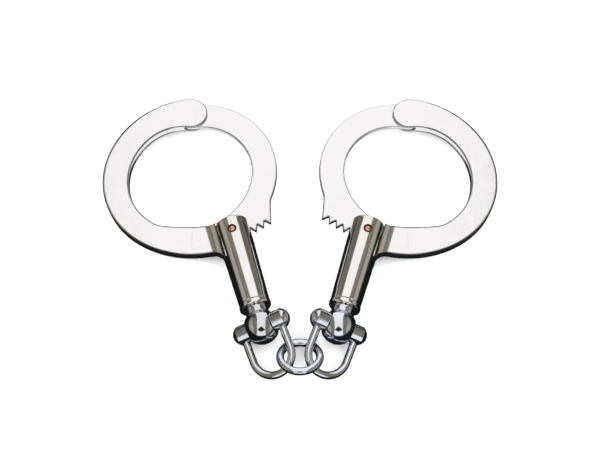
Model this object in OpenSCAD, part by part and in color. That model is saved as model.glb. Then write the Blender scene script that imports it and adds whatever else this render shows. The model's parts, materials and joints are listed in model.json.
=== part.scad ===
// A pair of barrel-lock handcuffs joined by two swivels, two D-shackles and one ring.
// Each cuff is drawn in its own frame: X towards the toothed side of the jaw,
// Y along the lock barrel towards its nose, Z square to the plates, and the
// origin at the centre of the barrel's nose. The right cuff is the same part turned over.

/* [Plates] */
// Thickness of the fixed bow
bow_t = 4.6; // [4.4:0.1:5]
// Thickness of the swinging jaw
jaw_t = 2.3; // [2:0.1:2.4]
// Outer radius of the bow
bow_r = 47; // [46.5:0.1:47.5]
// Radius of the wrist hole
hole_r = 33; // [32.5:0.1:33.5]
// Radius of the hinge pin
hinge_r = 3; // [2:0.1:3.5]

/* [Ratchet] */
// Radius from the hinge to the tooth tips
tip_r = 82; // [81.8:0.1:82.2]
// Depth of a tooth
tooth_h = 3.7; // [3.4:0.1:3.9]
// Angle from tooth to tooth at the hinge
pitch_deg = 3; // [2.9:0.1:3.1]
// Number of teeth on each jaw
tooth_count = 7; // [6:1:7]

/* [Lock barrel] */
// Length of the barrel
barrel_l = 51; // [50:0.5:52]
// Radius of the barrel at its nose
nose_r = 9; // [8.8:0.1:9.2]
// Radius of the barrel at the swivel
tail_r = 7.8; // [7.6:0.1:8]
// Radius of the bore
bore_r = 6.3; // [6.2:0.1:6.4]
// Radius of the round part of the keyhole
key_r = 1.7; // [1.5:0.1:1.8]
// Travel of the bolt
bolt_travel = 4; // [3.9:0.1:4.1]

/* [Links] */
// Radius of the swivel ball
ball_r = 8.9; // [8.5:0.1:9]
// Distance from the ball's centre to each of its flats
flat_x = 6.2; // [6:0.1:6.4]
// Radius of the shackle wire
wire_r = 1.95; // [1.8:0.05:2]
// Distance from the shackle pin to the far end of the shackle wire
shackle_l = 25; // [24.5:0.1:25.5]
// Radius of the ring, to the middle of its wire
ring_r = 9.7; // [9.5:0.1:9.9]

/* [Resting pose] */
// Turn of each lock barrel in plan
plan_deg = 15.9; // [15.8:0.1:16]
// Lean of the left cuff onto the edge of its bow
left_roll = 6.35; // [6.3:0.05:6.4]
// Lean of the right cuff onto the edge of its bow
right_roll = 6.25; // [6.2:0.05:6.3]
// Turn of each swivel about its barrel
swivel_deg = 22; // [20:0.5:24]
// Droop of each shackle about its pin
droop_deg = 13.6; // [13.4:0.1:13.8]
// Lean of the ring, its front edge raised
ring_lean = 20; // [19.5:0.5:21]

/* [Hidden] */
$fn = 96;

// Fits
rest_gap = 0.02;              // between pieces fixed in one body
run_gap = 0.05;               // radial clearance of a turning fit
plate_gap = 0.1;              // each side of the jaw in its slots
slide_gap = 0.15;             // round the sliding bolt
far = 200;                    // larger than the whole cuff, for cutting shapes
past = 1;                     // how far a cut runs past a face, or two joined shapes overlap

// Hinge and outline centres in the cuff's frame
hinge = [-3.2, 71];
hole_c = [-13.5, 34];
bow_c = [-13, 35.3];
boss_r = 8.3;                 // rounded end of the bow about the hinge
knuckle_r = 8.2;              // rounded end of the jaw about the hinge
blend_r = 25;                 // hollow between the wrist hole and the boss

// Lower edge of the wrist hole, a flatter arc that runs into the barrel
flat_r = 120;
flat_c = [16.9, 117.6];
flat_fillet_r = 14;

// Lower outer edge of the bow, a flatter arc that runs into the barrel
heel_r = 55;
heel_start = 215;             // where it leaves the main arc
heel_c = bow_c - (heel_r - bow_r) * [cos(heel_start), sin(heel_start)];
flare_r = 6;                  // hollow between that edge and the barrel
flare_x = -8;                 // where the hollow meets the barrel's flank
root_x = -5;                  // the bow's outline ends inside the barrel
root_front = 5;               // the thickened root runs this far ahead of the nose
root_back = 25;               // and this far behind it

// Fillet between the plate's faces and the barrel
fillet_r = 9;
root_y = 8;                   // the barrel's radius here sets the fillet
root_r = nose_r + (tail_r - nose_r) * root_y / barrel_l;
fillet_z = bow_t / 2 + fillet_r;
fillet_x = sqrt(pow(root_r + fillet_r, 2) - pow(fillet_z, 2));

// Slots
slot_t = jaw_t + 2 * plate_gap;
jaw_slot_l = 11.8;            // depth of the jaw slot from the nose
fork_x = -11.7;               // bottom of the fork at the hinge
fork_r = 8.5;                 // round bottom of the fork
pocket_deg = -13.6;           // end of the pocket that takes the closed jaw
pocket_open = 30;             // the pocket's far side, clear of the bow
pocket_r = tip_r + 0.5;

// Jaw
jaw_outer_c = [-12.5, 33.8];
jaw_outer_r = 45.2;
jaw_outer_end = 78;           // where the outer arc passes under the knuckle
jaw_top_c = [-10.7, 33.5];
jaw_top_r = norm(hinge - jaw_top_c) - knuckle_r;
jaw_low_r = 33;
jaw_low_start = -25;          // where the lower, flatter arc begins
jaw_low_c = jaw_top_c - (jaw_low_r - jaw_top_r) * [cos(jaw_low_start), sin(jaw_low_start)];
jaw_low_end = -80;
first_tip = -1.75;            // angle of the first tooth tip at the hinge
valley_step = 1.6;            // from a tip to the valley beyond it
last_tip = first_tip + (tooth_count - 1) * pitch_deg;
valley_r = tip_r - tooth_h;
flange_top = [22.6, 3.5];     // a point on the straight edge above the last tooth
flange_fillet_r = 10;
right_open = pitch_deg;       // the right cuff is locked one tooth looser

// Nose plug, rivets and bolt, all measured from the nose along the barrel
plug_start = 0.8;
plug_end = 15;
rivet_y = 8;
rivet_head_r = 2.35;
rivet_r = 1.45;
rivet_seat = 1;               // thickness of plug between the jaw slot and each rivet
rivet_sunk = 1.1;             // the head's depth below the barrel's surface
rivet_dome_r = 4;
rivet_dome_gap = 0.15;        // the dome's depth below the barrel's surface
blade_half = 5.2;
blade_t = slot_t - 2 * plate_gap;
blade_root = 12.2;            // the blade is solid from here back
tooth_base = 1.5;             // height of a bolt tooth's base outside the jaw's tips
tooth_tip_gap = 0.55;         // between a bolt tooth's tip and the jaw's valley
tooth_side_deg = 0.2;         // between the flanks, as an angle at the hinge
bolt_front = 15.4;
bolt_back = 32;
bolt_teeth = [for (k = [0:2]) first_tip + valley_step + k * pitch_deg];
key_y = 26.2;
key_slot_l = 4.6;
notch_front = 19.8;           // pocket in the bolt's flank for the key
notch_back = 28.4;
notch_half = 2.2;
notch_x = 1.5;
spigot_r = 3.4;
spigot_l = 3;

// Swivel end of the barrel
end_wall = 3;
shank_r = 3;
head_r = 4.6;
head_l = 2.4;
washer_l = 1.2;
seat_l = 1;
collar_r = 5.8;
collar_l = 3.4;
collar_gap = 0.2;
ball_y = barrel_l + collar_gap + collar_l + sqrt(pow(ball_r, 2) - pow(collar_r, 2));
nose_rim = 1.7;               // rounding of the barrel's nose
tail_rim = 0.8;               // rounding of the barrel's tail
bead_l = 2.2;                 // raised band at the tail, with a groove ahead of it
bead_h = 0.25;
bead_r = tail_r + bead_h;
groove_w = 0.7;
groove_start = barrel_l - bead_l - groove_w;

// Shackle
eye_r = 4.9;
eye_l = 5.8;
eye_gap = 0.3;
leg_x = 10.1;
pin_r = 2.3;
pin_head_h = 3;
pin_head_r = 4.7;

// Spring
spring_wire_r = 0.45;
spring_r = 4.7;
spring_turns = 5;
spring_gap = 0.03;
spring_front = bolt_back + bolt_travel;
spring_end = barrel_l - end_wall - washer_l - head_l - seat_l - 4 * rest_gap;

// Where the pieces lie
nose_at = [-35.8, 4.1];
left_height = 9.8;
right_height = 9.7;
ball_height = 9.75;
ring_at = [0, -70.4, 8.3];

LEFT = 1;
RIGHT = -1;

// ---------- helpers ----------
function unit(v) = v / norm(v);
function heading(v) = atan2(v[1], v[0]);
function around(c, r, a) = c + r * [cos(a), sin(a)];
// Points of an arc from angle a0 to a1, one about every step millimetres
function arc(c, r, a0, a1, step = 1.6) =
    let (n = max(2, ceil(abs(a1 - a0) * PI * r / 180 / step)))
    [for (i = [0:n]) around(c, r, a0 + (a1 - a0) * i / n)];
// Where two circles meet; side picks one of the two points
function meet(c1, r1, c2, r2, side) =
    let (
        gap = norm(c2 - c1),
        u = (c2 - c1) / gap,
        a = (r1 * r1 - r2 * r2 + gap * gap) / (2 * gap),
        h = sqrt(r1 * r1 - a * a)
    )
    c1 + a * u + side * h * [-u[1], u[0]];
// A point at radius r and angle a from the hinge, the angle counted from straight down
function from_hinge(r, a) = hinge + r * [sin(a), -cos(a)];

module mid_plate(t) { translate([0, 0, -t / 2]) linear_extrude(t) children(); }
// Shapes turned about Z are laid along the barrel, from the nose to the swivel
module along_barrel() { rotate([90, 0, 0]) children(); }
module tube_part(r, y0, y1) { along_barrel() translate([0, 0, y0]) cylinder(r = r, h = y1 - y0); }

// ---------- placing ----------
module turned_over(side) {
    if (side == LEFT) children();
    else mirror([1, 0, 0]) children();
}
module same_part(side) {
    if (side == LEFT) children();
    else mirror([0, 0, 1]) children();
}
module on_cuff(side) {
    roll = side == LEFT ? left_roll : right_roll;
    height = side == LEFT ? left_height : right_height;
    turned_over(side)
        translate([nose_at[0], nose_at[1], height])
            rotate([-pitch_of(height), 0, plan_deg]) rotate([0, -roll, 0])
                same_part(side) children();
}
function pitch_of(height) = asin((ball_height - height) / ball_y);
module on_swivel(side) {
    height = side == LEFT ? left_height : right_height;
    turned_over(side)
        translate([nose_at[0], nose_at[1], height])
            rotate([-pitch_of(height), 0, plan_deg]) rotate([0, -swivel_deg, 0])
                same_part(side) children();
}
module on_shackle(side) {
    height = side == LEFT ? left_height : right_height;
    turned_over(side)
        translate([nose_at[0], nose_at[1], height])
            rotate([-pitch_of(height), 0, plan_deg]) rotate([0, -swivel_deg, 0])
                translate([0, -ball_y, 0]) rotate([droop_deg, 0, 0])
                    same_part(side) children();
}

// ---------- bow ----------
function boss_blend_c() = meet(hole_c, hole_r - blend_r, hinge, boss_r + blend_r, 1);
function flat_blend_c() = meet(hole_c, hole_r - flat_fillet_r, flat_c, flat_r - flat_fillet_r, 1);
// Round corner from the boss to the bow's outer arc, tangent to both
corner_r = (pow(bow_r, 2) - pow(hinge[1] - bow_c[1], 2) - pow(hinge[0] - bow_c[0] + boss_r, 2))
    / (2 * (bow_r - (hinge[0] - bow_c[0]) - boss_r));
corner_c = hinge - [corner_r - boss_r, 0];
flare_y = heel_c[1] - sqrt(pow(heel_r + flare_r, 2) - pow(flare_x - flare_r - heel_c[0], 2));
flare_c = [flare_x - flare_r, flare_y];
flat_y = flat_c[1] - sqrt(pow(flat_r, 2) - pow(root_x - flat_c[0], 2));

function bow_outline() = concat(
    [[root_x, flat_y]],
    arc(flat_c, flat_r, heading([root_x, flat_y] - flat_c), heading(flat_blend_c() - flat_c)),
    arc(flat_blend_c(), flat_fillet_r, heading(flat_blend_c() - flat_c),
        heading(flat_blend_c() - hole_c)),
    arc(hole_c, hole_r, heading(flat_blend_c() - hole_c), heading(boss_blend_c() - hole_c) - 360),
    arc(boss_blend_c(), blend_r, heading(boss_blend_c() - hole_c),
        heading(hinge - boss_blend_c())),
    arc(hinge, boss_r, heading(boss_blend_c() - hinge), 0, 1),
    arc(corner_c, corner_r, 0, heading(corner_c - bow_c), 1),
    arc(bow_c, bow_r, heading(corner_c - bow_c), heel_start),
    arc(heel_c, heel_r, heel_start, 360 + heading(flare_c - heel_c)),
    arc(flare_c, flare_r, heading(heel_c - flare_c), 0, 0.8),
    [[root_x, flare_y]]
);

// Cross-section of the root: it reaches the barrel where the two fillets meet its flank
module root_section() {
    half = root_r * fillet_z / (root_r + fillet_r);
    difference() {
        translate([-fillet_x, -half]) square([fillet_x + root_x, 2 * half]);
        for (s = [-1, 1]) translate([-fillet_x, s * fillet_z]) circle(fillet_r);
    }
}

// The plate, thickened at its root by a fillet that wraps the barrel's flank
module bow_blank() {
    mid_plate(bow_t) polygon(bow_outline());
    intersection() {
        mid_plate(2 * nose_r) polygon(bow_outline());
        along_barrel() translate([0, 0, -root_front]) linear_extrude(root_front + root_back) root_section();
    }
}

// The barrel's outside, without its rounded rims, grown by a gap
module barrel_taper(gap) {
    along_barrel() {
        translate([0, 0, -root_front]) cylinder(r = nose_r + gap, h = root_front + nose_rim);
        translate([0, 0, nose_rim])
            cylinder(r1 = nose_r + gap, r2 = tail_r + gap, h = groove_start - nose_rim);
    }
}

// Slot at the hinge that the jaw's knuckle turns in
module fork_slot() {
    mid_plate(slot_t) {
        translate(hinge) circle(fork_r);
        translate([fork_x, hinge[1]]) square([far, far]);
        translate([hinge[0], hinge[1] - 2 * fork_r]) square([far, 2 * fork_r]);
    }
}

// Slot in the root that takes the jaw's toothed end as it closes
module pocket_slot() {
    mid_plate(slot_t) intersection() {
        translate(hinge) circle(pocket_r);
        polygon([hinge, from_hinge(far, pocket_deg), from_hinge(far, pocket_open)]);
    }
}

module bow() {
    color("#e6e4e2") difference() {
        bow_blank();
        barrel_taper(rest_gap);
        fork_slot();
        pocket_slot();
        translate([hinge[0], hinge[1], -far / 2]) cylinder(r = hinge_r + rest_gap, h = far);
    }
}

module hinge_rivet() {
    color("#dedbd8") translate([hinge[0], hinge[1], -bow_t / 2]) cylinder(r = hinge_r, h = bow_t);
}

// ---------- jaw ----------
last_point = from_hinge(tip_r, last_tip);
flange_dir = unit(flange_top - last_point);
flange_side = [flange_dir[1], -flange_dir[0]];
// Centre of the hollow between the straight edge and the outer arc
flange_q = last_point + flange_fillet_r * flange_side - jaw_outer_c;
flange_run = -(flange_q * flange_dir)
    - sqrt(pow(flange_q * flange_dir, 2) - flange_q * flange_q + pow(jaw_outer_r + flange_fillet_r, 2));
flange_c = last_point + flange_run * flange_dir + flange_fillet_r * flange_side;

function teeth() = concat(
    [from_hinge(valley_r, first_tip - pitch_deg + valley_step)],
    [for (k = [0:tooth_count - 1], part = [0:1])
        if (k < tooth_count - 1 || part == 0)
            part == 0 ? from_hinge(tip_r, first_tip + k * pitch_deg)
                      : from_hinge(valley_r, first_tip + k * pitch_deg + valley_step)]
);

function jaw_outline() = concat(
    arc(jaw_top_c, jaw_top_r, heading(hinge - jaw_top_c), jaw_low_start),
    arc(jaw_low_c, jaw_low_r, jaw_low_start, jaw_low_end),
    teeth(),
    arc(flange_c, flange_fillet_r, heading(-flange_side) + 360, heading(jaw_outer_c - flange_c) + 360, 0.8),
    arc(jaw_outer_c, jaw_outer_r, heading(flange_c - jaw_outer_c), jaw_outer_end),
    [hinge]
);

module jaw(open = 0) {
    color("#ecebe9") translate(hinge) rotate([0, 0, open]) translate(-hinge) difference() {
        mid_plate(jaw_t) {
            polygon(jaw_outline());
            translate(hinge) circle(knuckle_r);
        }
        translate([hinge[0], hinge[1], -far / 2]) cylinder(r = hinge_r + run_gap, h = far);
    }
}

// ---------- barrel ----------
function rim(c, r, a0, a1) = [for (i = [0:6]) around(c, r, a0 + (a1 - a0) * i / 6)];

module barrel_body() {
    along_barrel() rotate_extrude() polygon(concat(
        [[bore_r, 0]],
        rim([nose_r - nose_rim, nose_rim], nose_rim, -90, 0),
        [[tail_r, groove_start], [tail_r - bead_h, groove_start + groove_w / 2]],
        [[tail_r - bead_h, groove_start + groove_w], [bead_r - bead_h, groove_start + groove_w]],
        [[bead_r, groove_start + groove_w + bead_h]],
        rim([bead_r - tail_rim, barrel_l - tail_rim], tail_rim, 0, 90),
        [[0, barrel_l], [0, barrel_l - end_wall], [bore_r, barrel_l - end_wall]]
    ));
}

module barrel() {
    color("#8d8a7c") difference() {
        barrel_body();
        translate([-far / 2, -jaw_slot_l, -slot_t / 2]) cube([far, far, slot_t]);
        tube_part(shank_r + run_gap, barrel_l - end_wall - past, barrel_l + past);
        for (s = [0, 180]) rotate([0, s, 0]) translate([0, -rivet_y, 0])
            cylinder(r = rivet_head_r + rest_gap, h = far);
        translate([0, -key_y, 0]) rotate([0, -90, 0]) cylinder(r = key_r, h = far);
        translate([-far, -key_y - key_slot_l, -key_r / 2]) cube([far, key_slot_l, key_r]);
    }
}

module nose_plug() {
    color("#6f6c62") difference() {
        tube_part(bore_r - rest_gap, plug_start, plug_end);
        translate([-far / 2, -jaw_slot_l, -slot_t / 2]) cube([far, far, slot_t]);
        translate([-blade_half - slide_gap, -plug_end - past, -slot_t / 2])
            cube([2 * (blade_half + slide_gap), plug_end, slot_t]);
        for (s = [0, 180]) rotate([0, s, 0]) translate([0, -rivet_y, slot_t / 2 + rivet_seat])
            cylinder(r = rivet_r + rest_gap, h = far);
    }
}

// Copper rivet: a shank in the plug, a wide head low in its counterbore and a proud domed centre
module lock_rivet() {
    color("#b5674f") translate([0, -rivet_y, 0]) {
        translate([0, 0, slot_t / 2 + rivet_seat + rest_gap]) cylinder(r = rivet_r, h = bore_r - slot_t / 2);
        translate([0, 0, bore_r]) cylinder(r = rivet_head_r, h = nose_r - bore_r - rivet_sunk);
        intersection() {
            translate([0, 0, bore_r]) cylinder(r = rivet_r, h = nose_r);
            translate([0, 0, nose_r - rivet_dome_gap - rivet_dome_r]) sphere(rivet_dome_r);
        }
    }
}
module front_rivet() { lock_rivet(); }
module rear_rivet() { rotate([0, 180, 0]) lock_rivet(); }

// ---------- bolt ----------
module bolt_tooth(a) {
    polygon([
        from_hinge(tip_r + tooth_base, a - valley_step + tooth_side_deg),
        from_hinge(valley_r + tooth_tip_gap, a),
        from_hinge(tip_r + tooth_base, a + pitch_deg - valley_step - tooth_side_deg)
    ]);
}

// Toothed blade, drawn engaged with the jaw
module blade() {
    back = bolt_front + past;
    mid_plate(blade_t) intersection() {
        union() {
            for (a = bolt_teeth) bolt_tooth(a);
            translate([-blade_half, -back]) square([2 * blade_half, back - blade_root]);
        }
        translate([-blade_half, -back]) square([2 * blade_half, back]);
    }
}

module bolt() {
    color("#9a978f") translate([0, -bolt_travel, 0]) {
        blade();
        difference() {
            union() {
                tube_part(bore_r - slide_gap, bolt_front, bolt_back);
                tube_part(spigot_r, bolt_back - past, bolt_back + spigot_l);
            }
            translate([-far, -notch_back, -notch_half])
                cube([far - notch_x, notch_back - notch_front, 2 * notch_half]);
        }
    }
}

// Compression spring between the bolt and its seat
module bolt_spring() {
    sides = 8;
    per_turn = 20;
    count = spring_turns * per_turn;
    y0 = spring_front + spring_wire_r + spring_gap;
    y1 = spring_end - spring_wire_r - spring_gap;
    rings = [for (i = [0:count]) let (a = 360 * i / per_turn, y = y0 + (y1 - y0) * i / count)
        [for (k = [0:sides - 1]) let (b = 360 * k / sides, r = spring_r + spring_wire_r * cos(b))
            [r * cos(a), -y - spring_wire_r * sin(b), r * sin(a)]]];
    color("#b9b7b2") polyhedron(
        points = [for (ring_points = rings) each ring_points],
        faces = concat(
            [[for (k = [0:sides - 1]) k]],
            [for (i = [0:count - 1], k = [0:sides - 1])
                let (n = (k + 1) % sides)
                [(i + 1) * sides + k, (i + 1) * sides + n, i * sides + n, i * sides + k]],
            [[for (k = [sides - 1:-1:0]) count * sides + k]]
        )
    );
}

module spring_seat() {
    color("#9a978f") tube_part(bore_r - run_gap, spring_end, spring_end + seat_l);
}

// ---------- swivel ----------
head_start = barrel_l - end_wall - washer_l - head_l - 2 * rest_gap;

module swivel_washer() {
    back = barrel_l - end_wall - rest_gap;
    color("#9a978f") difference() {
        tube_part(bore_r - run_gap, back - washer_l, back);
        tube_part(shank_r + run_gap, barrel_l / 2, barrel_l);
    }
}

module swivel() {
    color("#8f8c80") difference() {
        union() {
            intersection() {
                translate([0, -ball_y, 0]) sphere(ball_r);
                translate([-flat_x, -far, -far / 2]) cube([2 * flat_x, far, far]);
            }
            intersection() {
                tube_part(collar_r, barrel_l + collar_gap, ball_y - flat_x);
                translate([-flat_x, -far, -far / 2]) cube([2 * flat_x, far, far]);
            }
            tube_part(shank_r, head_start + head_l / 2, barrel_l + collar_gap + past);
            tube_part(head_r, head_start, head_start + head_l);
        }
        translate([-far / 2, -ball_y, 0]) rotate([0, 90, 0]) cylinder(r = pin_r + run_gap, h = far);
    }
}

// ---------- shackle, drawn with its pin along X and its bend towards -Y ----------
eye_in = flat_x + eye_gap;
eye_out = eye_in + eye_l;
bend_y = -(shackle_l - leg_x);

module shackle() {
    color("#a3a199") difference() {
        union() {
            for (s = [-1, 1]) {
                translate([s < 0 ? -eye_out : eye_in, 0, 0])
                    rotate([0, 90, 0]) cylinder(r = eye_r, h = eye_l);
                translate([s * leg_x, 0, 0]) rotate([90, 0, 0]) cylinder(r = wire_r, h = -bend_y);
            }
            intersection() {
                translate([0, bend_y, 0]) rotate_extrude() translate([leg_x, 0]) circle(wire_r);
                translate([-far / 2, bend_y - far, -far / 2]) cube([far, far, far]);
            }
        }
        translate([-far / 2, 0, 0]) rotate([0, 90, 0]) cylinder(r = pin_r + rest_gap, h = far);
    }
}

// Rivet through both eyes and the ball, with a low domed head at each end
module shackle_pin() {
    dome_r = (pow(pin_head_r, 2) + pow(pin_head_h, 2)) / (2 * pin_head_h);
    end = eye_out + rest_gap;
    color("#8f8c80") {
        translate([-end, 0, 0]) rotate([0, 90, 0]) cylinder(r = pin_r, h = 2 * end);
        for (s = [-1, 1]) intersection() {
            translate([s * (end + pin_head_h - dome_r), 0, 0]) sphere(dome_r);
            translate([s < 0 ? -end - far : end, -far / 2, -far / 2]) cube(far);
        }
    }
}

module ring() {
    color("#a3a199") translate(ring_at) rotate([-ring_lean, 0, 0])
        rotate_extrude() translate([ring_r, 0]) circle(wire_r);
}

ring();
on_shackle(LEFT) shackle();  // left_shackle
on_shackle(LEFT) shackle_pin();  // left_shackle_pin
on_swivel(LEFT) swivel();  // left_swivel
on_cuff(LEFT) swivel_washer();  // left_swivel_washer
on_cuff(LEFT) barrel();  // left_barrel
on_cuff(LEFT) bow();  // left_bow
on_cuff(LEFT) nose_plug();  // left_nose_plug
on_cuff(LEFT) front_rivet();  // left_front_rivet
on_cuff(LEFT) rear_rivet();  // left_rear_rivet
on_cuff(LEFT) hinge_rivet();  // left_hinge_rivet
on_cuff(LEFT) spring_seat();  // left_spring_seat
on_cuff(LEFT) bolt_spring();  // left_bolt_spring
on_cuff(LEFT) bolt();  // left_bolt
on_cuff(LEFT) jaw();  // left_jaw
on_shackle(RIGHT) shackle();  // right_shackle
on_shackle(RIGHT) shackle_pin();  // right_shackle_pin
on_swivel(RIGHT) swivel();  // right_swivel
on_cuff(RIGHT) swivel_washer();  // right_swivel_washer
on_cuff(RIGHT) barrel();  // right_barrel
on_cuff(RIGHT) bow();  // right_bow
on_cuff(RIGHT) nose_plug();  // right_nose_plug
on_cuff(RIGHT) front_rivet();  // right_front_rivet
on_cuff(RIGHT) rear_rivet();  // right_rear_rivet
on_cuff(RIGHT) hinge_rivet();  // right_hinge_rivet
on_cuff(RIGHT) spring_seat();  // right_spring_seat
on_cuff(RIGHT) bolt_spring();  // right_bolt_spring
on_cuff(RIGHT) bolt();  // right_bolt
on_cuff(RIGHT) jaw(right_open);  // right_jaw
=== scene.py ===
import json
import math

import bpy
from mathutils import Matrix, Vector


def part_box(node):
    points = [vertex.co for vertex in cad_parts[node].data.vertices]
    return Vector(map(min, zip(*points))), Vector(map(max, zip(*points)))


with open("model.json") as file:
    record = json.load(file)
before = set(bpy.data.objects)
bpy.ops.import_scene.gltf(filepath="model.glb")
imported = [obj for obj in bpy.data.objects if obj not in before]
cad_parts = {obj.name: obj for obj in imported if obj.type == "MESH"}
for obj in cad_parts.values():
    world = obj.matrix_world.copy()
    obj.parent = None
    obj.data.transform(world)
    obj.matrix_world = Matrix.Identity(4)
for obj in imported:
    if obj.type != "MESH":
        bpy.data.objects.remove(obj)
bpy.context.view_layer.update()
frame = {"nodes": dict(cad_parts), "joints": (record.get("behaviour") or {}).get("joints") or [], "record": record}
nodes = frame["nodes"]
joints = {j["name"]: j for j in frame["joints"]}
SIDES = ("left", "right")

# Each metal is its clean colour and its dull one
PLATE = (0.955, 0.945, 0.947), (0.88, 0.86, 0.865)
LOCK = (0.93, 0.92, 0.90), (0.74, 0.71, 0.64)
LINK = (0.82, 0.85, 0.92), (0.60, 0.57, 0.51)
INNER = (0.52, 0.51, 0.49), (0.36, 0.34, 0.31)
COPPER = (0.84, 0.47, 0.38), (0.60, 0.30, 0.22)
# painted shade in the recessed rim of a copper rivet
RIVET_RECESS_SHADE = (0.10, 0.035, 0.03)
# painted shade: the dark rim along rounded plate edges
RIM_SHADE_COLOUR = (0.085, 0.075, 0.09)

# Lengths, in metres
RIVET_CENTRE = 0.00125          # radius of a lock rivet's centre, which the painted shade round its recessed rim leaves clear
LEAF_RADIUS = 0.012             # the bow's forked leaves lie within this radius of the hinge
PIN_FLUSH = 0.0042              # the hinge pin is polished flush with the plate, to this radius
ROOT_BLEND = 0.0115             # the bow's root blends into the barrel, to this radius from its axis
ROOT_REACH = 0.045              # and to this distance along it from the joint's point
BOW_EDGE = (0.0020, 0.0013)     # radius of a plate's soft edge, far from the hinge and near it
JAW_EDGE = (0.0014, 0.0012)
JAW_CHAMFER = 0.0003

# How the mask of the painted dark rim (painted shade along rounded edges) falls as the soft normal nears the plain
# one, and how dark that painted shade is
RIM_SHADE_STOPS = ((0.92, 1.0), (0.995, 0.0))
RIM_SHADE_DARKNESS = 0.92
SOFT_EDGE = 1.25                # a zone round an axis fades out by this many times its radius
SOFT_END = 1.1                  # and past its end by this many times its reach

# Texture scales, in cycles a metre; three numbers stretch a texture along its brushing
CLOUDS = 38
SPECKS = 900
RIPPLES = 120
HAIRLINES = (9000, 260, 9000)
LONG_CELLS = (2600, 90, 2600)
SHORT_CELLS = (1900, 70, 1900)
PATCHES = 60                    # of the scratches, in cycles of their own stretched texture

# How strongly each kind of wear shows
SCRATCH_WIDTH = 0.02
SCRATCH_SHADE = 0.55
SCRATCH_TINT = 0.25
SCRATCH_ROUGHNESS = 0.18
SCRATCH_DEPTH = -0.25
SPECK_ROUGHNESS = 0.05
CLEAN_ROUGHNESS, CLOUDED_ROUGHNESS = 0.75, 1.35
RIPPLE_HEIGHT = 0.6
BUMP_STRENGTH = 0.12
BUMP_DISTANCE = 0.0002


# ---------- node helpers ----------
def add_node(tree, kind, inputs=None, **settings):
    """A new node with its settings. Each input is linked from a socket or set to a value."""
    node = tree.nodes.new(kind)
    for key, value in settings.items():
        setattr(node, key, value)
    for key, value in (inputs or {}).items():
        if isinstance(value, bpy.types.NodeSocket):
            tree.links.new(value, node.inputs[key])
        else:
            node.inputs[key].default_value = value
    return node


def add_ramp(tree, fac, stops):
    """A ramp through stops, each a position and a grey or a colour."""
    node = add_node(tree, "ShaderNodeValToRGB", {"Fac": fac})
    points = node.color_ramp.elements
    while len(points) < len(stops):
        points.new(0.5)
    for point, (at, value) in zip(points, stops):
        point.position = at
        point.color = (*value, 1) if isinstance(value, tuple) else (value, value, value, 1)
    return node.outputs["Color"]


class Nodes:
    """A material's node tree, built a node at a time."""

    def __init__(self, name):
        self.material = bpy.data.materials.new(name)
        self.material.use_nodes = True
        self.tree = self.material.node_tree
        self.shader = self.tree.nodes["Principled BSDF"]
        self.coords = self.add("ShaderNodeTexCoord").outputs["Object"]

    def add(self, kind, inputs=None, **settings):
        return add_node(self.tree, kind, inputs, **settings)

    def link(self, out, socket):
        self.tree.links.new(out, self.shader.inputs[socket])

    def mapped(self, scale, turn, shift=0.0):
        """The object's coordinates, scaled, turned in plan and shifted."""
        return self.add("ShaderNodeMapping", {
            "Vector": self.coords, "Scale": scale, "Rotation": (0, 0, turn),
            "Location": (shift, shift * 0.7, 0)}).outputs[0]

    def noise(self, scale, detail, rough=0.55, vector=None):
        return self.add("ShaderNodeTexNoise", {
            "Vector": vector or self.coords, "Scale": scale, "Detail": detail,
            "Roughness": rough}).outputs["Fac"]

    def ramp(self, fac, stops):
        return add_ramp(self.tree, fac, stops)

    def math(self, kind, a, b=0.0):
        return self.add("ShaderNodeMath", {0: a, 1: b}, operation=kind).outputs[0]

    def vector_math(self, kind, a, b=None):
        inputs = {0: a} if b is None else {0: a, 1: b}
        return self.add("ShaderNodeVectorMath", inputs, operation=kind).outputs

    def scale_to(self, fac, low, high, start=0.0, end=1.0):
        """low where fac is start, and high where it is end."""
        return self.add("ShaderNodeMapRange", {
            "Value": fac, "From Min": start, "From Max": end,
            "To Min": low, "To Max": high}).outputs[0]

    def mix(self, fac, a, b):
        """A blend of two colours, each a socket or three numbers."""
        a, b = ((*colour, 1) if isinstance(colour, tuple) else colour for colour in (a, b))
        return self.add("ShaderNodeMix", {0: fac, 6: a, 7: b}, data_type="RGBA").outputs[2]

    def off_axis(self, axis, radius, low=0.0, high=1.0, reach=None):
        """low within a radius of an axis, which is a point and a direction, and high just outside it.

        With a reach, it is high again further than that along the axis from the point."""
        point, direction = axis
        away = self.vector_math("SUBTRACT", self.coords, point)[0]
        across = self.vector_math("CROSS_PRODUCT", away, direction)[0]
        distance = self.vector_math("LENGTH", across)["Value"]
        out = self.scale_to(distance, low, high, radius, SOFT_EDGE * radius)
        if reach is None:
            return out
        along = self.vector_math("DOT_PRODUCT", away, direction)["Value"]
        beyond = self.scale_to(self.math("ABSOLUTE", along), low, high, reach, SOFT_END * reach)
        return self.math("MAXIMUM", out, beyond)

    def rounded_edges(self, edge, sharp):
        """The normal of softly polished edges, and a mask where painted shade darkens them into a dark rim.

        edge is their radius, far from the hinge and near it. sharp is the axes, each with a radius
        and a reach, about which the edges stay sharp; the first is the hinge's."""
        far, near = edge
        size = self.off_axis(sharp[0][0], LEAF_RADIUS, near, far)
        soft = self.add("ShaderNodeBevel", {"Radius": size}, samples=8).outputs[0]
        plain = self.add("ShaderNodeNewGeometry").outputs["Normal"]
        amount = 1.0
        for axis, radius, reach in sharp:
            amount = self.math("MULTIPLY", self.off_axis(axis, radius, reach=reach), amount)
        normal = self.add("ShaderNodeMix", {0: amount, 4: plain, 5: soft},
                          data_type="VECTOR").outputs[1]
        turn = self.vector_math("DOT_PRODUCT", normal, plain)["Value"]
        # the mask of the painted dark rim, where the soft normal turns from the plain one
        return normal, self.ramp(turn, RIM_SHADE_STOPS)


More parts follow.
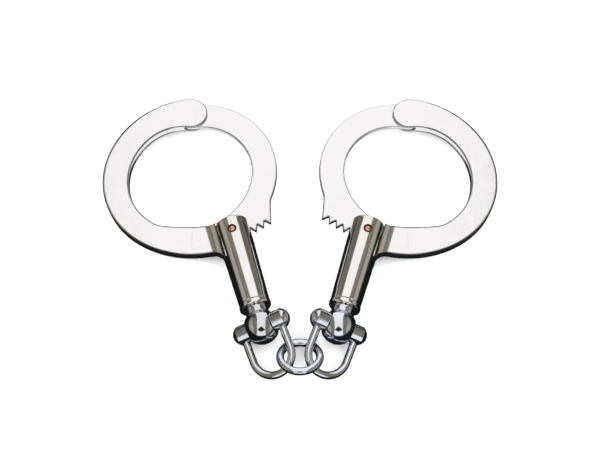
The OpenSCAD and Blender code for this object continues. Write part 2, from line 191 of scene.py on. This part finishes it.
# ---------- metals ----------
def scratches(n, scale, turn, shift):
    """Sparse thin lines: the edges of long stretched cells, kept only in patches."""
    stretched = n.mapped(scale, turn, shift)
    lines = n.add("ShaderNodeTexVoronoi", {"Vector": stretched, "Scale": 1.0},
                  feature="DISTANCE_TO_EDGE").outputs["Distance"]
    thin = n.ramp(lines, ((0.0, 1.0), (SCRATCH_WIDTH, 0.0)))
    patches = n.ramp(n.noise(PATCHES, 2, vector=stretched), ((0.52, 0.0), (0.6, 1.0)))
    return n.math("MULTIPLY", thin, patches)


def worn_metal(name, metal, rough, turn, brush, wear, tarnish, edge=None, sharp=(), core=None):
    """Polished plating with brushing, hairline scratches, cloudy handling marks and dull spots, and painted shade
    as a dark rim along rounded edges.

    turn is the brushing's, in plan. edge and sharp are as rounded_edges takes them. core is the axis
    that painted shade darkens the colour away from, as in a rivet's recessed rim."""
    n = Nodes(name)
    base, dull = metal
    cloud = n.noise(CLOUDS, 5, 0.6)
    speck = n.noise(SPECKS, 3, 0.7)
    hair = n.noise(1.0, 3, 0.6, vector=n.mapped(HAIRLINES, turn))
    fine = n.math("MAXIMUM",
                  scratches(n, LONG_CELLS, turn + 0.5, 3.1),
                  scratches(n, SHORT_CELLS, turn - 0.9, 7.7))

    stain = n.ramp(cloud, ((0.35, 1.0), (0.62, 0.0)))
    colour = n.mix(n.math("MULTIPLY", stain, tarnish), base, dull)
    colour = n.mix(n.math("MULTIPLY", fine, SCRATCH_TINT * wear), colour,
                   tuple(SCRATCH_SHADE * c for c in base))
    if edge:
        rounded, rim = n.rounded_edges(edge, sharp)
        # painted shade along the rounded edges, as a dark rim
        colour = n.mix(n.math("MULTIPLY", rim, RIM_SHADE_DARKNESS), colour, RIM_SHADE_COLOUR)
    if core:
        # painted shade round a rivet's recessed rim, darker away from its centre
        colour = n.mix(n.off_axis(core, RIVET_CENTRE), colour, RIVET_RECESS_SHADE)
    n.link(colour, "Base Color")

    gloss = n.math("ADD", n.scale_to(cloud, rough * CLEAN_ROUGHNESS, rough * CLOUDED_ROUGHNESS),
                   n.math("MULTIPLY", fine, SCRATCH_ROUGHNESS * wear))
    spots = n.ramp(speck, ((0.6, 0.0), (0.75, 1.0)))
    n.link(n.math("ADD", gloss, n.math("MULTIPLY", spots, SPECK_ROUGHNESS * wear)), "Roughness")

    height = n.math("ADD", n.math("MULTIPLY", hair, brush),
                    n.math("MULTIPLY", fine, SCRATCH_DEPTH * wear))
    height = n.math("ADD", height, n.math("MULTIPLY", n.noise(RIPPLES, 2), RIPPLE_HEIGHT))
    bump = n.add("ShaderNodeBump", {
        "Height": height, "Strength": BUMP_STRENGTH, "Distance": BUMP_DISTANCE})
    if edge:
        n.tree.links.new(rounded, bump.inputs["Normal"])
    n.link(bump.outputs[0], "Normal")
    n.shader.inputs["Metallic"].default_value = 1.0
    return n.material


def axis_of(joint):
    """A joint's axis at rest, as a point and a direction."""
    return joints[joint]["pos_m"], joints[joint]["axis"]


def plate_metal(side, piece, turn, edge):
    """A plate's finish, with soft edges except round the hinge pin and, on the bow, at its root."""
    sharp = [(axis_of(side + "_jaw_hinge"), PIN_FLUSH, None)]
    if piece == "bow":
        sharp.append((axis_of(side + "_swivel_turn"), ROOT_BLEND, ROOT_REACH))
    return worn_metal(side + "_" + piece, PLATE, rough=0.10, turn=turn, brush=0.05, wear=1.0,
                      tarnish=0.35, edge=edge, sharp=sharp)


def lock_metal(side):
    """The barrel's finish, whose brushing runs along it."""
    direction = joints[side + "_swivel_turn"]["axis"]
    turn = math.atan2(direction[1], direction[0]) - math.pi / 2
    return worn_metal("lock_" + side, LOCK, rough=0.08, turn=turn, brush=0.03, wear=0.6,
                      tarnish=0.35)


def rivet_metal(side, piece):
    """Copper, with painted shade round its recessed rim."""
    low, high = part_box(side + "_" + piece)
    core = (low + high) / 2, joints[side + "_jaw_hinge"]["axis"]
    return worn_metal(side + "_" + piece, COPPER, rough=0.30, turn=0.9, brush=0.10, wear=1.0,
                      tarnish=0.5, core=core)


def dress(name, material):
    """Gives a CAD node its finish."""
    for slot in nodes[name].material_slots:
        slot.material = material


def chamfer(name, width):
    """A fine real chamfer on a CAD node's sharp edges, once its split and flat faces are joined."""
    modifiers = nodes[name].modifiers
    weld = modifiers.new("weld", "WELD")
    weld.merge_threshold = 1e-6
    flat = modifiers.new("flat", "DECIMATE")
    flat.decimate_type = "DISSOLVE"
    flat.angle_limit = math.radians(0.5)
    bevel = modifiers.new("edge", "BEVEL")
    bevel.width = width
    bevel.segments = 2
    bevel.limit_method = "ANGLE"
    bevel.angle_limit = math.radians(35)
    bevel.harden_normals = True
    bevel.use_clamp_overlap = True


link = worn_metal("link", LINK, rough=0.09, turn=0.0, brush=0.03, wear=0.8, tarnish=0.4)
inner = worn_metal("inner", INNER, rough=0.28, turn=0.0, brush=0.10, wear=0.8, tarnish=0.5)
dress("ring", link)
for side in SIDES:
    plate = plate_metal(side, "bow", 0.4, BOW_EDGE)
    lock = lock_metal(side)
    finishes = {
        "bow": plate, "hinge_rivet": plate, "jaw": plate_metal(side, "jaw", -0.3, JAW_EDGE),
        "barrel": lock, "nose_plug": lock,
        "swivel": link, "shackle": link, "shackle_pin": link,
        "bolt": inner, "bolt_spring": inner, "spring_seat": inner, "swivel_washer": inner}
    for piece in ("front_rivet", "rear_rivet"):
        finishes[piece] = rivet_metal(side, piece)
    for piece, material in finishes.items():
        dress(side + "_" + piece, material)
    chamfer(side + "_jaw", JAW_CHAMFER)


# ---------- stage ----------
FLOOR_HALF = 4.0
FLOOR_Z = -0.0001
DOME_RADIUS = 3.9
DOME_DROP = 0.3                 # the dome's foot is this far under the floor
DOME_STEPS, DOME_ROWS = 32, 8
DOME_STRENGTH = 4.5
ARCH_RADIUS = 1.7
ARCH_HALF_WIDTH = 0.79
ARCH_BACK, ARCH_FRONT = math.radians(7), math.radians(174)
ARCH_STEPS = 36
ARCH_COLOUR, ARCH_STRENGTH = (1.0, 0.988, 0.992), 0.98
FIGURE_DISTANCE = 1.5
FIGURE_OUTLINE = ((0, 68), (0.34, 56), (0.66, 45), (0.36, 37), (0, 33))
FIGURE_COLOUR, FIGURE_STRENGTH = (0.3, 0.35, 0.4), 0.02
CARD_SPREAD = 0.67              # a card's radius, as a part of the width of its opening's box
CARD_STEPS = 48
CARD_Z = 0.0002
CARD_STRENGTH = 0.9
WHITE = (1, 1, 1)
MIRRORED_ONLY = ("camera", "diffuse", "shadow")


def turns(count):
    """Angles evenly round a circle."""
    return [2 * math.pi * k / count for k in range(count)]


def emission(name, colour, strength):
    """A material that glows."""
    material = bpy.data.materials.new(name)
    material.use_nodes = True
    tree = material.node_tree
    tree.nodes.clear()
    out = add_node(tree, "ShaderNodeOutputMaterial")
    glow = add_node(tree, "ShaderNodeEmission", {"Color": (*colour, 1), "Strength": strength})
    tree.links.new(glow.outputs[0], out.inputs["Surface"])
    return material


def stage_mesh(name, verts, faces, material, unseen_by):
    """A piece of the stage. unseen_by is the kinds of ray that pass through it."""
    mesh = bpy.data.meshes.new(name)
    mesh.from_pydata(verts, [], faces)
    mesh.materials.append(material)
    obj = bpy.data.objects.new(name, mesh)
    bpy.context.scene.collection.objects.link(obj)
    for ray in unseen_by:
        setattr(obj, "visible_" + ray, False)
    return obj


def pale_floor():
    """A plain pale floor, which the polished metal doesn't mirror."""
    n = Nodes("floor")
    n.shader.inputs["Roughness"].default_value = 0.9
    n.shader.inputs["Specular IOR Level"].default_value = 0.0
    pale = n.ramp(n.noise(4, 3), ((0.3, (0.94, 0.94, 0.94)), (0.7, (0.97, 0.97, 0.97))))
    n.link(pale, "Base Color")
    corners = [(-1, -1), (1, -1), (1, 1), (-1, 1)]
    floor = stage_mesh("floor", [(FLOOR_HALF * x, FLOOR_HALF * y, 0) for x, y in corners],
                       [(0, 1, 2, 3)], n.material, ("glossy",))
    floor.location.z = FLOOR_Z


def pale_dome():
    """A dome that lights the floor from all round, which the polished metal doesn't mirror."""
    verts = [(DOME_RADIUS * math.cos(e) * math.cos(a), DOME_RADIUS * math.cos(e) * math.sin(a),
              DOME_RADIUS * math.sin(e) - DOME_DROP)
             for e in [math.pi / 2 * r / DOME_ROWS for r in range(DOME_ROWS + 1)]
             for a in turns(DOME_STEPS)]
    faces = [(r * DOME_STEPS + k, r * DOME_STEPS + (k + 1) % DOME_STEPS,
              (r + 1) * DOME_STEPS + (k + 1) % DOME_STEPS, (r + 1) * DOME_STEPS + k)
             for r in range(DOME_ROWS) for k in range(DOME_STEPS)]
    stage_mesh("dome", verts, faces, emission("dome", WHITE, DOME_STRENGTH), ("glossy",))


def arch_light():
    """A long soft light that arches over the object from back to front, hidden from the camera."""
    angles = [ARCH_BACK + (ARCH_FRONT - ARCH_BACK) * k / ARCH_STEPS for k in range(ARCH_STEPS + 1)]
    verts = [(x, ARCH_RADIUS * math.cos(a), ARCH_RADIUS * math.sin(a))
             for a in angles for x in (-ARCH_HALF_WIDTH, ARCH_HALF_WIDTH)]
    faces = [(2 * k, 2 * k + 1, 2 * k + 3, 2 * k + 2) for k in range(ARCH_STEPS)]
    stage_mesh("arch", verts, faces, emission("arch", ARCH_COLOUR, ARCH_STRENGTH), ("camera",))


def dark_figure():
    """The dark shape of whoever stands in front, which the polished metal mirrors.

    Its outline is half widths and elevations in degrees, down one side."""
    outline = list(FIGURE_OUTLINE) + [(-x, e) for x, e in FIGURE_OUTLINE[-2:0:-1]]
    verts = [(x, -FIGURE_DISTANCE * math.cos(math.radians(e)),
              FIGURE_DISTANCE * math.sin(math.radians(e))) for x, e in outline]
    stage_mesh("figure", verts, [tuple(range(len(verts)))],
               emission("figure", FIGURE_COLOUR, FIGURE_STRENGTH), MIRRORED_ONLY)


def reflector(opening):
    """A white card on the floor inside a wrist hole, seen only in the polished metal."""
    low, high = (Vector(corner) for corner in opening["box_m"])
    centre = (low + high) / 2
    radius = CARD_SPREAD * (high.x - low.x)
    rim = [(centre.x + radius * math.cos(a), centre.y + radius * math.sin(a), CARD_Z)
           for a in turns(CARD_STEPS)]
    stage_mesh("card_" + opening["name"], rim, [tuple(range(CARD_STEPS))],
               emission("card", WHITE, CARD_STRENGTH), MIRRORED_ONLY)


def world_light():
    """The dark room that the polished metal mirrors, paler high up, in front and at the sides."""
    world = bpy.data.worlds.new("room")
    bpy.context.scene.world = world
    world.use_nodes = True
    tree = world.node_tree
    axes = add_node(tree, "ShaderNodeSeparateXYZ", {
        0: add_node(tree, "ShaderNodeTexCoord").outputs["Generated"]})

    def ramp(axis, stops):
        """A ramp along one axis of the direction, from -1 to 1."""
        fac = add_node(tree, "ShaderNodeMapRange", {
            "Value": axes.outputs[axis], "From Min": -1, "From Max": 1}).outputs[0]
        return add_ramp(tree, fac, [((at + 1) / 2, value) for at, value in stops])

    def blend(kind, a, b):
        return add_node(tree, "ShaderNodeMix", {6: a, 7: b, 0: 1.0}, data_type="RGBA",
                        blend_type=kind).outputs[2]

    room = ramp("Z", (
        (-1.0, (0.010, 0.012, 0.013)), (-0.05, (0.006, 0.010, 0.012)), (0.03, (0.045, 0.042, 0.032)),
        (0.34, (0.055, 0.048, 0.034)), (0.50, (0.12, 0.11, 0.082)), (0.72, (0.20, 0.19, 0.155)),
        (1.0, (0.26, 0.25, 0.22))))
    low_light = ramp("Z", (
        (0.05, 0), (0.15, (0.12, 0.118, 0.112)), (0.42, (0.09, 0.088, 0.082)), (0.65, 0)))
    front_and_back = ramp("Y", ((-0.2, 1), (0.25, 0), (0.75, 0), (0.9, 1)))
    window = ramp("Z", ((0.08, 0), (0.2, (0.30, 0.28, 0.25)), (0.5, (0.30, 0.28, 0.25)), (0.62, 0)))
    sides = ramp("X", ((-0.85, 1), (-0.6, 0), (0.6, 0), (0.85, 1)))
    for light, place in ((low_light, front_and_back), (window, sides)):
        room = blend("ADD", room, blend("MULTIPLY", light, place))
    tree.links.new(room, tree.nodes["Background"].inputs["Color"])


pale_floor()
pale_dome()
arch_light()
dark_figure()
for opening in frame["record"]["physics"]["openings"]:
    if opening["name"].endswith("_wrist_1"):
        reflector(opening)
world_light()

# ---------- camera ----------
TARGET = Vector((0, 0.0086, 0))
DISTANCE = 0.65
ELEVATION = math.radians(60)

camera = bpy.data.objects.new("camera", bpy.data.cameras.new("camera"))
camera.data.lens = 74.3
camera.data.sensor_width = 36
camera.location = TARGET + DISTANCE * Vector((0, -math.cos(ELEVATION), math.sin(ELEVATION)))
camera.rotation_euler = (TARGET - camera.location).to_track_quat("-Z", "Y").to_euler()
bpy.context.scene.collection.objects.link(camera)
bpy.context.scene.camera = camera
bpy.context.scene.view_settings.view_transform = "Standard"
